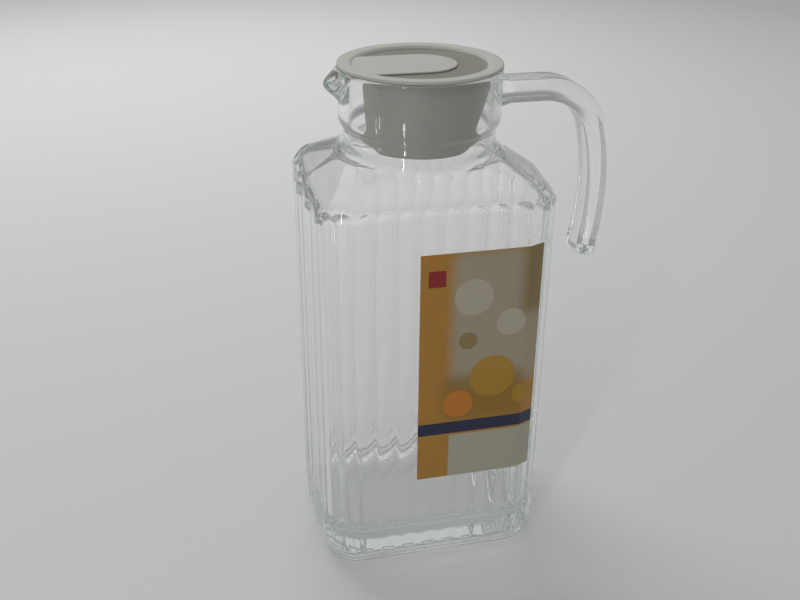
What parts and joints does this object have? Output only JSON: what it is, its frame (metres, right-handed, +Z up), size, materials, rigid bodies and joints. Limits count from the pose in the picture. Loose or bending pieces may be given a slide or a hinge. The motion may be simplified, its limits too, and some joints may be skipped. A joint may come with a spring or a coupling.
{
  "type": "glass pitcher with lid",
  "caption": "Fluted rectangular glass jug with a round neck, pouring lip, open strap handle and a grey push-in lid, for keeping drinks in a fridge door",
  "frame": {"origin": "on the jug's upright axis, at the bottom of its foot", "axes": "+Z up; -X is the pouring lip; +X is the handle; -Y is the wide face that carries the label"},
  "size_m": [0.1577, 0.1026, 0.252],
  "materials": {
    "soda_lime_glass": "fire-polished, clear with a faint green edge",
    "grey_polyethylene": "moulded, satin",
    "printed_label_film": "printed self-adhesive film, semi-gloss"
  },
  "bodies": {
    "jug": {"jug_body": "soda_lime_glass", "handle": "soda_lime_glass", "front_label": "printed_label_film"},
    "lid": {"lid": "grey_polyethylene"}
  },
  "joints": [
    {"name": "lid_lift", "type": "slide", "parent": "jug", "child": "lid", "axis": [0, 0, 1], "range_m": [0, 0.08]}
  ]
}
